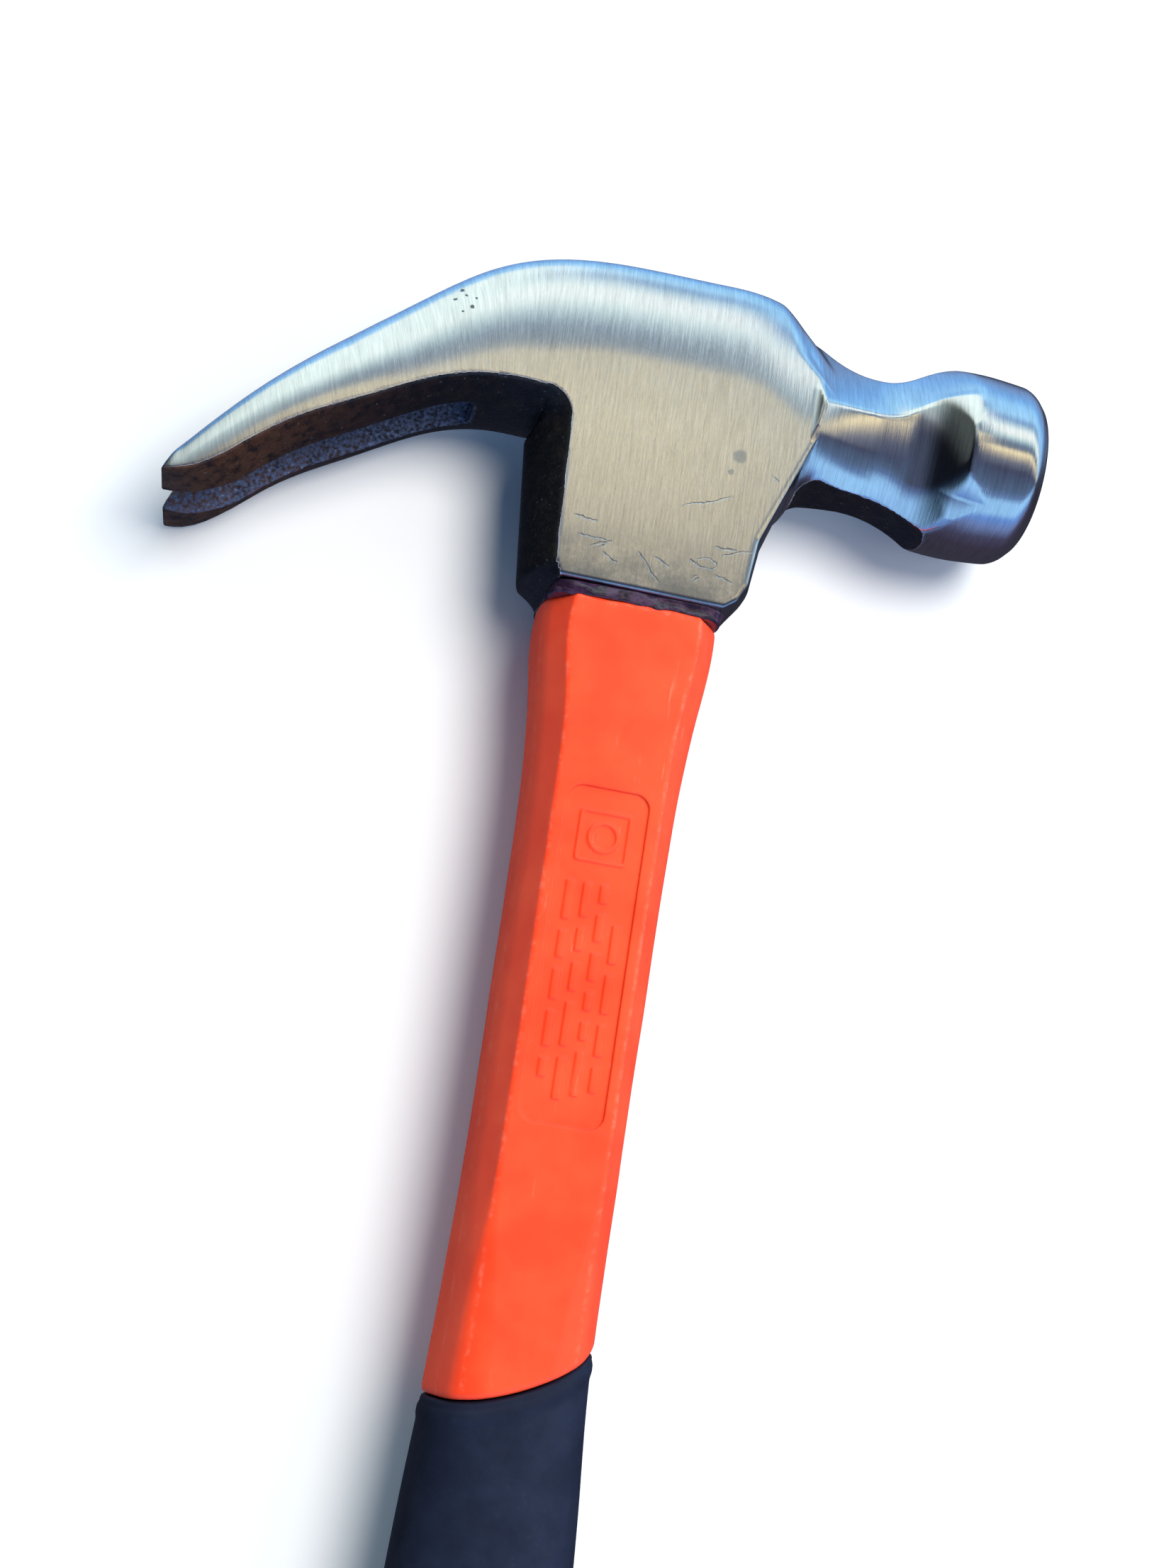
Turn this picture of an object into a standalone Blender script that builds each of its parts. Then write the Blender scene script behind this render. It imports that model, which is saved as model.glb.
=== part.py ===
"""Claw hammer with a fibreglass handle, as six pieces that are bonded together.

The hammer is drawn in its own axes, in millimetres. X runs from the claw to the striking face, Y up the
handle to the top of the head, and Z through the thickness. The handle's axis is X = 0, the bottom of the
head's cheeks is Y = 0, and the plane of symmetry is Z = 0. An empty then lays the hammer on its side.
"""

from math import atan2, cos, hypot, pi, radians, sin, sqrt

import bmesh
import bpy
import numpy as np
from mathutils import Vector

MM = 0.001
GAP = 0.3                      # clearance that bonded or resting pieces keep to each other

# Head: side outline
CLAW_TOP = ((-72.7, 3.8), (-62.4, 17.0), (-52, 27.9), (-41.5, 37.3), (-30.5, 46.3),
            (-20.5, 50.8), (-7, 52.6), (5, 52.8), (15.5, 51.9), (20, 50.0))
CLAW_UNDER = ((-72.4, 2.7), (-68.3, 3.7), (-58, 12.0), (-46, 19.8), (-35, 26.0), (-25.5, 28.5), (-19.5, 28.5))
RULING = ((-72.4, -72.7), (-58, -62), (-46, -51.6), (-35, -41.3), (-25.5, -30.6), (-19.5, -22))
HOOK_RADIUS = 4.5              # fillet between the claw's underside and the socket
HOOK_FILL = 1.5                # extra metal in that corner, along the middle
SOCKET_TOP_LEFT = (-15.0, 24.2)
SOCKET_BOTTOM_LEFT = (-14.0, 2.2)
SOCKET_LEFT = -13.0
SOCKET_RIGHT = 12.2
SOCKET_CORNER_RIGHT = (14.0, 1.5)
SOCKET_BOTTOM_RIGHT = (15.1, 4.2)
SOCKET_WAIST_RIGHT = (15.8, 11.5)
CHEEK_PEAK = (25.6, 36.2)      # where the cheek runs out in a point towards the poll
SHOULDER_END = (20.0, 50.0)

# Where the head's sections meet its top, above the hook, the socket's claw side, its bottom and its poll side
TOP_OVER_HOOK = -22.0
TOP_OVER_WALL = -17.0
TOP_OVER_CORNER = -14.6
TOP_OVER_BOTTOM = (-13.2, 12.5)
TOP_OVER_SIDE = 13.0

# Head: thickness
CHEEK_HALF = 11.5
CLAW_HALF = ((-72.4, 13.2), (-68, 14.0), (-60, 14.2), (-40, 13.2), (-25.5, 12.0), (-19.5, CHEEK_HALF))
SHOULDER_DEPTH = 17.0          # how far down the cheek the rounded shoulder starts
SHOULDER_INSET = 4.6           # how far in from the cheek it ends
CROWN = 0.5                    # rise of the top along the middle
SHOULDER_SHARE = 0.72          # most that these three may take of the claw's own thickness
INSET_SHARE = 0.42
CROWN_SHARE = 0.03
HEAD_TOP = 53.14               # highest point left beside the eye
CLAW_RIDGE = 2.2               # draft ridge along the middle of the claw's underside
CLAW_STATIONS = 26             # sections from the tip to the hook
RIDGE_STATIONS = 5             # the ridge grows to its full height over this many
SOCKET_RIDGE = 5.2             # the same on the socket's claw side, at its top
SOCKET_RIDGE_LOW = 3.9         # and above its bottom edge
SOCKET_RIDGE_END = 1.2         # and on its bottom edge
POLL_SIDE_ROLL = 2.0           # rolled edge on the socket's poll side

# Nail slot
SLOT_MOUTH = 4.9               # half width of the bevelled mouth, on the underside
SLOT_AT_TIP = 4.1              # half width of the slot itself
SLOT_AT_ROOT = 1.3
SLOT_ROOT_X = -29.0
SLOT_ROOT_RADIUS = 3.0
SLOT_BEVEL = 0.35              # share of the claw's thickness that the bevel takes

# Poll: facets ground around the neck, as (direction from +Z to +Y, offset at the waist, X where the
# waist starts and the radius towards the body, X where it ends and the radius towards the bell)
POLL_AXIS = 34.5
NECK_START = 19.5
FACETS = ((90, 10.0, (33, 14), (34, 10)), (34, 9.2, (34, 25), (34, 11)), (-12, 9.1, (34, 19), (38, 7)),
          (-41, 10.0, (33, 19), (33, 20)), (-90, 10.3, (26, 3), (31, 20)))
FACET_END = 43.0               # where each facet starts to run out into the bell
FACET_RUN_OUT = 0.5
NECK_LIMIT_X = 30.0            # up to here the neck stays inside the cheeks
BELL = ((17, 15.2), (40, 14.2), (45, 14.7), (50, 14.9), (54, 14.6), (57.4, 14.0))
FACE_CHAMFER_RADIUS = 12.1
FACE_CHAMFER_X = 59.8
FACE_FLAT_RADIUS = 9.5
FACE_X = 60.2

# Eye, core and resin
EYE_BOTTOM = (22.0, 12.8)
EYE_TOP = (24.4, 13.4)
EYE_TOP_Y = 53.0
CORE = (19.0, 10.4)
CORE_TOP = 50.6
CORE_BOTTOM = -268.0
RESIN_TOP = 50.0
RESIN_BOTTOM = 0.3
BEAD_RINGS = ((-0.3, 25.6, 20.6), (-1.0, 26.2, 21.2), (-1.7, 25.2, 20.4))   # (Y, width, depth)

# Jacket: octagonal sleeve, as (Y, offset of its middle, half width, half width of the broad flat,
# half height of the side flat)
JACKET_TOP = -1.9
JACKET_SECTIONS = ((-1.9, -0.2, 13.6, 9.4, 4.6), (-4.8, -0.3, 13.7, 9.7, 4.9), (-17.0, -0.3, 12.6, 8.6, 4.7),
                   (-30.0, -0.3, 11.7, 8.0, 4.6), (-60.0, -0.3, 11.3, 7.7, 4.5), (-88.0, -0.3, 11.2, 7.6, 4.5),
                   (-104.0, -0.4, 11.6, 7.6, 4.9), (-120.0, -0.5, 12.0, 7.7, 5.4))
JACKET_HALF = 11.0
JACKET_LEAD_IN = 0.9
JOINT_START = -100.0           # below this the rings slant over to the joint with the grip
LABEL = (-30.5, -79.5, 6.1)    # top, bottom and half width of the sunk label field
LABEL_DEPTH = 0.5
LABEL_RADIUS = 2.3

# Grip: oval rubber sleeve, as (Y, offset of its middle, half width, half thickness)
GRIP_SECTIONS = ((-119.0, -0.5, 11.7, 10.6), (-130.0, -0.4, 12.4, 11.0), (-142.0, -0.3, 13.0, 11.4),
                 (-170.0, 0.0, 14.1, 12.2), (-200.0, 0.0, 14.4, 12.5), (-232.0, 0.2, 13.3, 11.9),
                 (-252.0, 0.8, 13.9, 12.1), (-268.0, 1.6, 16.6, 13.2), (-274.5, 1.8, 17.0, 13.3),
                 (-277.0, 1.8, 14.6, 11.2))
GRIP_LIP = 0.9                 # height of the rounded lip where the sleeve meets the jacket
LIP_SCALE = 0.965
BUTT_Y = GRIP_SECTIONS[-1][0]

EDGE_ANGLE = radians(28)


def spline(points):
    """Natural cubic spline Y(X) through the points, straight beyond its ends."""
    x, y = np.array(points, float).T
    step = np.diff(x)
    slope = np.diff(y) / step
    system = np.eye(len(x))
    right = np.zeros(len(x))
    for i in range(1, len(x) - 1):
        system[i, i - 1:i + 2] = step[i - 1], 2 * (step[i - 1] + step[i]), step[i]
        right[i] = 6 * (slope[i] - slope[i - 1])
    bend = np.linalg.solve(system, right)

    def height(at):
        i = min(max(int(np.searchsorted(x, at)) - 1, 0), len(x) - 2)
        start = slope[i] - step[i] * (2 * bend[i] + bend[i + 1]) / 6
        end = slope[i] + step[i] * (bend[i] + 2 * bend[i + 1]) / 6
        if at <= x[0]:
            return y[0] + start * (at - x[0])
        if at >= x[-1]:
            return y[-1] + end * (at - x[-1])
        d = at - x[i]
        return y[i] + start * d + bend[i] * d * d / 2 + (bend[i + 1] - bend[i]) * d ** 3 / (6 * step[i])
    return height


def table(rows, at):
    """The row at a place, between rows whose first value falls steadily."""
    columns = np.array(rows, float).T
    return [float(np.interp(-at, -columns[0], column)) for column in columns[1:]]


def mix(a, b, t):
    return tuple(p + (q - p) * t for p, q in zip(a, b))


def add_object(name, bm, parent):
    """Give a bmesh, drawn in millimetres, to a new object."""
    bmesh.ops.scale(bm, vec=(MM, MM, MM), verts=bm.verts)
    bmesh.ops.recalc_face_normals(bm, faces=bm.faces)
    mesh = bpy.data.meshes.new(name)
    bm.to_mesh(mesh)
    bm.free()
    mesh.shade_smooth()
    mesh.set_sharp_from_angle(angle=EDGE_ANGLE)
    piece = bpy.data.objects.new(name, mesh)
    bpy.context.collection.objects.link(piece)
    piece.parent = parent
    return piece


def loft(name, rings, parent, tube=False):
    """Skin rings of points: closed by a cap at each end, or as a tube whose last ring meets its first."""
    bm = bmesh.new()
    rows = [[bm.verts.new(point) for point in ring] for ring in rings]
    pairs = list(zip(rows, rows[1:]))
    if tube:
        pairs.append((rows[-1], rows[0]))
    for near, far in pairs:
        for i in range(len(near)):
            j = (i + 1) % len(near)
            bm.faces.new((near[i], near[j], far[j], far[i]))
    if not tube:
        bm.faces.new(rows[0])
        bm.faces.new(rows[-1])
    return add_object(name, bm, parent)


def cut(piece, cutter, operation="DIFFERENCE"):
    """Boolean with a piece that is hidden afterwards."""
    cutter.hide_render = True
    cutter.display_type = "WIRE"
    modifier = piece.modifiers.new(operation.title() + " " + cutter.name, "BOOLEAN")
    modifier.operation = operation
    modifier.solver = "EXACT"
    modifier.object = cutter


def rounded_rectangle(width, depth, corners=8, power=4.0):
    """Superellipse in the XZ plane."""
    ring = []
    for i in range(4 * corners):
        a = 2 * pi * (i + 0.5) / (4 * corners)
        c, s = cos(a), sin(a)
        r = (abs(c) ** power + abs(s) ** power) ** (-1 / power)
        ring.append((width / 2 * r * c, depth / 2 * r * s))
    return ring


# ---- Head ------------------------------------------------------------------------------------------

top_edge = spline(CLAW_TOP)
under_edge = spline(CLAW_UNDER)
ruling = spline(RULING)
claw_half = spline(CLAW_HALF)


def claw_station(x):
    """Under and top points of the claw, facing each other across it."""
    over = ruling(x)
    return (x, under_edge(x)), (over, top_edge(over))


def body_stations():
    """(under point, top point, half thickness, ridge vector, rolled) round the body's lower edge."""
    stations = []
    claw_from, claw_to = CLAW_UNDER[0][0], CLAW_UNDER[-1][0]
    for i in range(CLAW_STATIONS):
        x = claw_from + (claw_to - claw_from) * i / CLAW_STATIONS
        under, over = claw_station(x)
        length = hypot(over[0] - under[0], over[1] - under[1])
        grow = min(1.0, i / RIDGE_STATIONS)
        ridge = ((under[0] - over[0]) / length * CLAW_RIDGE * grow,
                 (under[1] - over[1]) / length * CLAW_RIDGE * grow)
        stations.append((under, over, claw_half(x), ridge, False))

    def add(under, over_x, ridge, rolled=False):
        over = (over_x, top_edge(over_x))
        stations.append((under, over, CHEEK_HALF, ridge, rolled))

    centre = (SOCKET_TOP_LEFT[0] - HOOK_RADIUS, SOCKET_TOP_LEFT[1])
    for i in range(6):
        a = pi / 2 * (1 - i / 5)
        under = (centre[0] + HOOK_RADIUS * cos(a), centre[1] + HOOK_RADIUS * sin(a))
        bulge = CLAW_RIDGE + (SOCKET_RIDGE - CLAW_RIDGE) * i / 5 + HOOK_FILL * sin(pi * i / 5)
        add(under, TOP_OVER_HOOK + (TOP_OVER_WALL - TOP_OVER_HOOK) * i / 5, (-cos(a) * bulge, -sin(a) * bulge))
    for t in (0.33, 0.67, 1.0):
        bulge = SOCKET_RIDGE + (SOCKET_RIDGE_LOW - SOCKET_RIDGE) * t
        over_x = TOP_OVER_WALL + (TOP_OVER_CORNER - TOP_OVER_WALL) * t
        add(mix(SOCKET_TOP_LEFT, SOCKET_BOTTOM_LEFT, t), over_x, (-bulge, 0))
    add((SOCKET_LEFT, 0), (TOP_OVER_CORNER + TOP_OVER_BOTTOM[0]) / 2, (-SOCKET_RIDGE_END, 0))
    for t in (0.02, 0.2, 0.4, 0.6, 0.8, 0.98):
        over_x = TOP_OVER_BOTTOM[0] + (TOP_OVER_BOTTOM[1] - TOP_OVER_BOTTOM[0]) * t
        add((SOCKET_LEFT + (SOCKET_RIGHT - SOCKET_LEFT) * t, 0), over_x, (0, 0))
    side = ((SOCKET_RIGHT, 0), SOCKET_CORNER_RIGHT, SOCKET_BOTTOM_RIGHT, SOCKET_WAIST_RIGHT)
    for number, (point, share) in enumerate(zip(side, (0.3, 0.5, 0.85, 1.0))):
        add(point, TOP_OVER_SIDE + number, (share * POLL_SIDE_ROLL, 0), True)
    waist_x = TOP_OVER_SIDE + len(side) - 1
    for t in (0.12, 0.3, 0.5, 0.7, 0.85, 1.0):
        over_x = waist_x + (SHOULDER_END[0] - waist_x) * t
        add(mix(SOCKET_WAIST_RIGHT, CHEEK_PEAK, t), over_x, (POLL_SIDE_ROLL * (1 - t), 0), True)
    return stations


def body_ring(under, over, half, ridge, rolled):
    """Section of the body between its under and top points."""
    length = hypot(over[0] - under[0], over[1] - under[1])
    along = ((over[0] - under[0]) / length, (over[1] - under[1]) / length)
    depth = min(SHOULDER_DEPTH, SHOULDER_SHARE * length)
    inset = min(SHOULDER_INSET, INSET_SHARE * length)
    front = []
    for t in (0, 0.25, 0.5, 0.75, 0.93):
        swell = sqrt(1 - t * t) if rolled else 1 - t * t
        front.append((under[0] + ridge[0] * swell, under[1] + ridge[1] * swell, half * t))
    front.append((under[0], under[1], half))
    for i in range(8):
        a = pi / 2 * i / 7
        v = length - depth * (1 - sin(a))
        front.append((under[0] + along[0] * v, under[1] + along[1] * v, half - inset * (1 - cos(a))))
    crown = min(CROWN, CROWN_SHARE * length)
    front.append((over[0] + along[0] * crown, over[1] + along[1] * crown, 0))
    back = [(x, y, -z) for x, y, z in reversed(front[1:-1])]
    return front + back


def facet_offset(facet, x):
    """Distance of a ground facet from the poll's axis."""
    _, waist, (start_x, start_radius), (end_x, end_radius) = facet
    flare = max(0.0, start_x - x) ** 2 / (2 * start_radius) + max(0.0, x - end_x) ** 2 / (2 * end_radius)
    return waist + flare + FACET_RUN_OUT * max(0.0, x - FACET_END) ** 2


def neck_ring(x, steps=4):
    """Section of the neck or bell: facets, cut off by the turned radius and by the cheeks."""
    mirrored = [(180 - facet[0], facet) for facet in reversed(FACETS[1:-1])]
    facets = [(facet[0], facet) for facet in FACETS] + [(angle - 360, facet) for angle, facet in mirrored]
    facets = [(radians(angle), facet_offset(facet, x)) for angle, facet in facets]
    turned = float(np.interp(x, *zip(*BELL)))
    corners = []
    for (a, p), (b, q) in zip(facets, facets[1:] + facets[:1]):
        z = (p * sin(b) - q * sin(a)) / sin(b - a)
        y = (q * cos(a) - p * cos(b)) / sin(b - a)
        corners.append(atan2(y, z))
    ring = []
    for i, (a, p) in enumerate(facets):
        start, end = corners[i - 1], corners[i]
        while end > start:
            end -= 2 * pi
        for k in range(steps):
            angle = start + (end - start) * k / steps
            r = min(turned, p / max(0.2, cos(angle - a)))
            if x < NECK_LIMIT_X:
                r = min(r, (CHEEK_HALF - 0.05) / max(0.05, abs(cos(angle))))
            ring.append((x, POLL_AXIS + r * sin(angle), r * cos(angle)))
    return ring


def slot_rings():
    """V-shaped nail slot with a bevelled mouth, from beyond the tips to its root."""
    rings = []
    start = CLAW_UNDER[0][0]
    places = [start + (SLOT_ROOT_X - SLOT_ROOT_RADIUS - start) * i / 14 for i in range(15)]
    places += [SLOT_ROOT_X - SLOT_ROOT_RADIUS * (1 - sin(pi / 2 * i / 5)) for i in range(1, 6)]
    for number, x in enumerate([start] + places):
        under, over = claw_station(x)
        length = hypot(over[0] - under[0], over[1] - under[1])
        along = ((over[0] - under[0]) / length, (over[1] - under[1]) / length)
        back = 6.0 if number == 0 else 0.0
        share = max(0.0, (x - SLOT_ROOT_X + SLOT_ROOT_RADIUS) / SLOT_ROOT_RADIUS)
        narrow = sqrt(max(0.002, 1 - share * share))
        t = (x - start) / (SLOT_ROOT_X - start)
        through = (SLOT_AT_TIP + (SLOT_AT_ROOT - SLOT_AT_TIP) * t) * narrow
        mouth = SLOT_MOUTH * narrow
        profile = ((-5.0, mouth), (-0.6 * CLAW_RIDGE, mouth), (SLOT_BEVEL * length, through),
                   (length + 5.0, through))
        half = []
        for v, w in profile:
            half.append((under[0] + along[0] * v - along[1] * back,
                         under[1] + along[1] * v + along[0] * back, w))
        rings.append(half + [(px, py, -w) for px, py, w in reversed(half)])
    return rings


def eye_rings(grow=0.0):
    """Tapered eye through the head, wider at the top."""
    rings = []
    for y in (-6.0, EYE_TOP_Y + 8):
        t = y / EYE_TOP_Y
        width, depth = mix(EYE_BOTTOM, EYE_TOP, t)
        rings.append([(x, y, z) for x, z in rounded_rectangle(width - 2 * grow, depth - 2 * grow)])
    return rings


def build_head(parent):
    head = loft("hammer_head", [body_ring(*station) for station in body_stations()], parent)
    bell_places = [NECK_START + (FACET_END - NECK_START) * i / 14 for i in range(15)]
    bell_places += [44.6, 45.2, 45.8, 46.6, 48, 50, 52, 54, 55.7, BELL[-1][0]]
    rings = [neck_ring(x) for x in bell_places]
    for x, radius in ((FACE_CHAMFER_X, FACE_CHAMFER_RADIUS), (FACE_X, FACE_FLAT_RADIUS)):
        last = rings[-1]
        ring = []
        for _, y, z in last:
            k = radius / hypot(y - POLL_AXIS, z)
            ring.append((x, POLL_AXIS + (y - POLL_AXIS) * k, z * k))
        rings.append(ring)
    cut(head, loft("poll_join", rings, parent), "UNION")
    cut(head, loft("nail_slot_cut", slot_rings(), parent))
    cut(head, loft("eye_cut", eye_rings(), parent))
    return head


# ---- Handle ----------------------------------------------------------------------------------------

def core_ring(y, clearance=0.0):
    ring = rounded_rectangle(CORE[0] + 2 * clearance, CORE[1] + 2 * clearance)
    return [(x, y, z) for x, z in ring]


def build_core(parent):
    return loft("fibreglass_core", [core_ring(CORE_TOP), core_ring(CORE_BOTTOM)], parent)


def build_resin(parent):
    """Cast resin between the core and the eye."""
    outer = []
    for y in (RESIN_TOP, RESIN_BOTTOM):
        width, depth = mix(EYE_BOTTOM, EYE_TOP, y / EYE_TOP_Y)
        ring = rounded_rectangle(width - 2 * GAP, depth - 2 * GAP)
        outer.append([(x, y, z) for x, z in ring])
    inner = [core_ring(RESIN_BOTTOM, GAP), core_ring(RESIN_TOP, GAP)]
    return loft("epoxy_fill", outer + inner, parent, tube=True)


def build_bead(parent):
    """Squeezed-out adhesive between the head and the jacket."""
    outer = [[(x, y, z) for x, z in rounded_rectangle(width, depth, power=5.0)]
             for y, width, depth in BEAD_RINGS]
    inner = [core_ring(BEAD_RINGS[-1][0], GAP), core_ring(BEAD_RINGS[0][0], GAP)]
    return loft("adhesive_bead", outer + inner, parent, tube=True)


def joint_height(x):
    """Height of the slanted, slightly curved joint between jacket and grip."""
    return -116.0 + 0.422 * x + 0.0172 * x * x


def jacket_ring(y, inset=0.0):
    """Octagon whose corners are points, four to each facet, so that it matches the bore's ring."""
    middle, half_width, flat, side = table(JACKET_SECTIONS, y)
    corners = ((half_width, side), (flat, JACKET_HALF), (-flat, JACKET_HALF), (-half_width, side),
               (-half_width, -side), (-flat, -JACKET_HALF), (flat, -JACKET_HALF), (half_width, -side))
    ring = []
    for (x0, z0), (x1, z1) in zip(corners, corners[1:] + corners[:1]):
        for k in range(4):
            x, z = mix((x0, z0), (x1, z1), k / 4)
            scale = 1 - inset / hypot(x, z)
            ring.append((middle + x * scale, y, z * scale))
    return ring


def bore_ring(like):
    """Ring of the bore round the core, each point facing one of the outer ring."""
    ring = []
    power = 4.0
    a, b = CORE[0] / 2 + GAP, CORE[1] / 2 + GAP
    for x, y, z in like:
        r = (abs(x / a) ** power + abs(z / b) ** power) ** (-1 / power)
        ring.append((x * r, y, z * r))
    return ring


def slant(ring, share=1.0, drop=0.0):
    """Lean a ring over towards the joint, by a share of the way from where the slant starts."""
    return [(x, JOINT_START + (joint_height(x) - drop - JOINT_START) * share, z) for x, _, z in ring]


def rounded_slab(name, top, bottom, half_width, radius, z0, z1, parent):
    """Upright rounded rectangle, for the label field."""
    outline = []
    for cx, cy, quarter in ((half_width - radius, top - radius, 0), (-half_width + radius, top - radius, 1),
                            (-half_width + radius, bottom + radius, 2),
                            (half_width - radius, bottom + radius, 3)):
        for k in range(5):
            a = pi / 2 * (quarter + k / 4)
            outline.append((cx + radius * cos(a), cy + radius * sin(a)))
    return loft(name, [[(x, y, z) for x, y in outline] for z in (z0, z1)], parent)


def build_jacket(parent):
    heights = [JACKET_TOP, JACKET_SECTIONS[1][0], -10, -17, -30, -45, -60, -75, -88, JOINT_START]
    outer = [jacket_ring(y, JACKET_LEAD_IN if y == JACKET_TOP else 0) for y in heights]
    for share, inset in ((0.35, 0), (0.7, 0), (0.93, 0.15), (1.0, 0.7)):
        middle = JOINT_START + (joint_height(0) - JOINT_START) * share
        outer.append(slant(jacket_ring(middle, inset), share))
    bore = bore_ring(outer[-1])
    inner = [slant(bore), slant(bore, 0.0), bore_ring(outer[0])]
    jacket = loft("handle_jacket", outer + inner, parent, tube=True)
    for name, side in (("label_cut_front", 1), ("label_cut_back", -1)):
        low, high = sorted((side * (JACKET_HALF - LABEL_DEPTH), side * (JACKET_HALF + 2)))
        cut(jacket, rounded_slab(name, *LABEL, LABEL_RADIUS, low, high, parent))
    return jacket


def grip_ring(y, corners=10):
    """Oval section of the grip."""
    middle, half_width, half = table(GRIP_SECTIONS, y)
    ring = rounded_rectangle(2 * half_width, 2 * half, corners, power=2.5)
    return [(x + middle, y, z) for x, z in ring]


def build_grip(parent):
    """Sleeve with a blind bore: its rings run up the bore, over the lip and down the outside."""
    top = grip_ring(GRIP_SECTIONS[0][0])
    lip = slant([(x * LIP_SCALE, y, z * LIP_SCALE) for x, y, z in top], drop=GAP)
    below = slant(top, drop=GAP + GRIP_LIP)
    bore = bore_ring(lip)
    blind_end = [(x, CORE_BOTTOM - GAP, z) for x, _, z in bore]
    heights = [-125, -130, -136, -142, -150, -160, -170, -185, -200, -216, -232, -242, -252, -260,
               -268, -271.5, -274.5, -276, BUTT_Y]
    outer = [grip_ring(y) for y in heights]
    return loft("grip", [blind_end, slant(bore, drop=GAP), lip, below] + outer, parent)


# ---- Materials and assembly ------------------------------------------------------------------------

def material(name, colour, roughness, metallic=0.0):
    made = bpy.data.materials.new(name)
    made.use_nodes = True
    shader = made.node_tree.nodes["Principled BSDF"]
    shader.inputs["Base Color"].default_value = (*colour, 1)
    shader.inputs["Roughness"].default_value = roughness
    shader.inputs["Metallic"].default_value = metallic
    made.diffuse_color = (*colour, 1)
    return made


def main():
    for old in list(bpy.data.objects):
        bpy.data.objects.remove(old, do_unlink=True)
    laid = bpy.data.objects.new("hammer", None)
    bpy.context.collection.objects.link(laid)
    middle_x = (CLAW_TOP[0][0] + FACE_X) / 2
    laid.location = Vector((-middle_x, -(HEAD_TOP + BUTT_Y) / 2, max(r for x, r in BELL if x > FACET_END))) * MM

    steel = material("forged_steel", (0.62, 0.62, 0.60), 0.32, 1.0)
    fibreglass = material("fibreglass", (0.72, 0.66, 0.42), 0.55)
    resin = material("cast_resin", (0.10, 0.07, 0.04), 0.25)
    bead = material("dark_adhesive", (0.03, 0.02, 0.04), 0.2)
    orange = material("orange_plastic", (0.90, 0.10, 0.03), 0.42)
    rubber = material("black_rubber", (0.014, 0.018, 0.03), 0.7)
    pieces = ((build_head, steel), (build_core, fibreglass), (build_resin, resin), (build_bead, bead),
              (build_jacket, orange), (build_grip, rubber))
    for build, finish in pieces:
        build(laid).data.materials.append(finish)


main()
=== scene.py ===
"""Looks of the claw hammer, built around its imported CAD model.

Every piece is drawn in the hammer's own axes, in millimetres: X from the claw to the striking face, Y up
the handle, Z through the thickness. X = 0 is the handle's axis, Y = 0 the bottom of the cheeks and Z = 0
the plane of symmetry. Shapes are fields, negative inside, that are meshed on a grid.
"""

import bpy
import numpy as np
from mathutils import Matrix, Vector


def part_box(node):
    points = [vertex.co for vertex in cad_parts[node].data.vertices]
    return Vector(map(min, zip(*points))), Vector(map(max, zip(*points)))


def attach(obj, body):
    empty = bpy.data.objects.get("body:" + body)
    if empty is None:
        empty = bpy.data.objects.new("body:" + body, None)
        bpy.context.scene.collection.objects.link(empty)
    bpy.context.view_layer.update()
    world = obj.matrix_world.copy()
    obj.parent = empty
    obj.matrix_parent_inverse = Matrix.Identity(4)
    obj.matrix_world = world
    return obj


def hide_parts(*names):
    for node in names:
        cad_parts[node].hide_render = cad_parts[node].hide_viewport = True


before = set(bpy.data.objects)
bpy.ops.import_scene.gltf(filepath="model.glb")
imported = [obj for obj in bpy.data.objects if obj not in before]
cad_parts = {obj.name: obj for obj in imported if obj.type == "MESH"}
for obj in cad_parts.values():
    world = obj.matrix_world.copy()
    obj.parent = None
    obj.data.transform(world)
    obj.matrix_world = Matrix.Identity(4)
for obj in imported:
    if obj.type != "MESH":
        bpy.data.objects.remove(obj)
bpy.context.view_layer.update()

MM = 0.001
CLAW_TIP_X = -72.7
head_low, head_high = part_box("hammer_head")
ORIGIN = Vector((head_low.x - CLAW_TIP_X * MM, head_low.y, (head_low.z + head_high.z) / 2))

# ---- Shape of the head -----------------------------------------------------------------------------

CLAW_TOP = ((-72.7, 3.8), (-62.4, 17.0), (-52, 27.9), (-41.5, 37.3), (-30.5, 46.3),
            (-20.5, 50.8), (-7, 52.6), (5, 52.8), (15.5, 51.9), (20, 50.0))
CLAW_UNDER = ((-72.4, 2.7), (-68.3, 3.7), (-58, 12.0), (-46, 19.8), (-35, 26.0), (-25.5, 28.5),
              (-19.5, 28.5))
THICKNESS = ((-72.5, 1.1), (-70, 4.6), (-60, 7.3), (-49, 11.1), (-38, 15.8), (-28, 20.4), (-20, 23.6))
BODY_X = -20.0                 # from here on the head counts as BODY_THICKNESS deep
BODY_THICKNESS = 30.0
TIP_ROUNDING = 2.5
CLAW_HALF = ((-72.4, 14.2), (-60, 14.0), (-40, 12.8), (-24, 11.8), (-13, 11.5))
HOOK_RADIUS = 4.5
HOOK_FILL = 1.5
SOCKET_TOP_LEFT = (-15.0, 24.2)
SOCKET_BOTTOM_LEFT = (-14.0, 2.2)
SOCKET_LEFT = -13.0
SOCKET_RIGHT = 12.2
SOCKET_SIDE_RIGHT = ((14.0, 1.5), (15.1, 4.2), (15.8, 11.5))
CHEEK_PEAK = (25.6, 36.2)
SHOULDER_END = (20.0, 50.0)
SHOULDER_DEPTH = 17.0
SHOULDER_INSET = 4.6
CROWN = 0.5
CLAW_RIDGE = 2.2
SOCKET_RIDGE = 5.2
SOCKET_RIDGE_LOW = 3.9
SOCKET_RIDGE_END = 1.2
POLL_SIDE_ROLL = 2.0

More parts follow.
